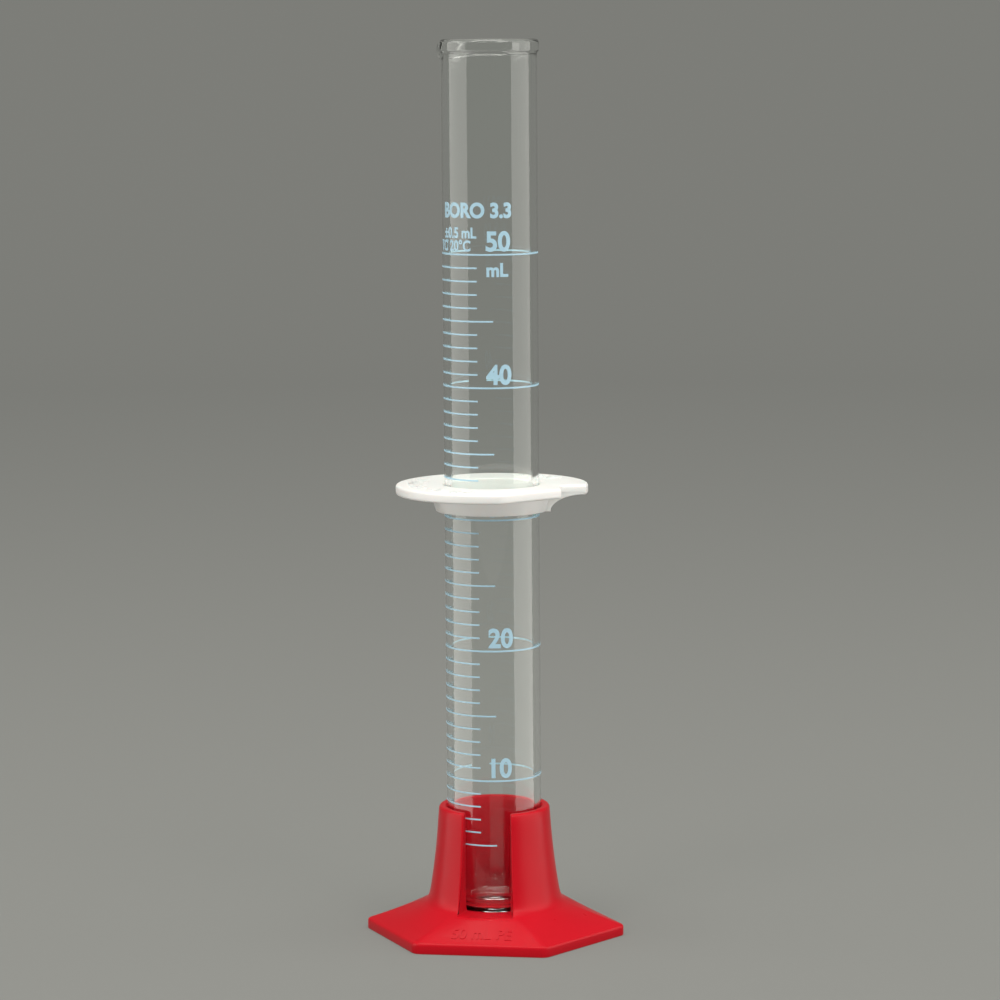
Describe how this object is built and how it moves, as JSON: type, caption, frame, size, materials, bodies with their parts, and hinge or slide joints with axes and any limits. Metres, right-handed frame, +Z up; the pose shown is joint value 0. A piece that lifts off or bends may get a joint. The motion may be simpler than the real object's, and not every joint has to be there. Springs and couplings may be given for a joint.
{
  "type": "graduated cylinder",
  "caption": "Tall glass measuring cylinder with a spouted rim, a sliding bumper ring and a detachable hexagonal foot with a slotted socket.",
  "frame": {"origin": "on the tube's axis at the underside of the foot", "axes": "+Z up along the tube, X through two corners of the foot, -Y towards the slotted side of the socket"},
  "size_m": [0.0636, 0.0496, 0.2183],
  "materials": {
    "red_plastic": "satin moulded polyethylene",
    "clear_glass": "clear borosilicate, fire polished",
    "white_plastic": "satin moulded polyethylene"
  },
  "bodies": {
    "foot": {"hexagonal_foot": "red_plastic"},
    "tube": {"glass_tube": "clear_glass"},
    "bumper": {"bumper_ring": "white_plastic"}
  },
  "joints": [
    {"name": "tube_lift", "type": "slide", "parent": "foot", "child": "tube", "axis": [0, 0, 1], "range_m": [0, 0.03]},
    {"name": "bumper_slide", "type": "slide", "parent": "tube", "child": "bumper", "axis": [0, 0, 1], "range_m": [-0.0725, 0.093]}
  ]
}
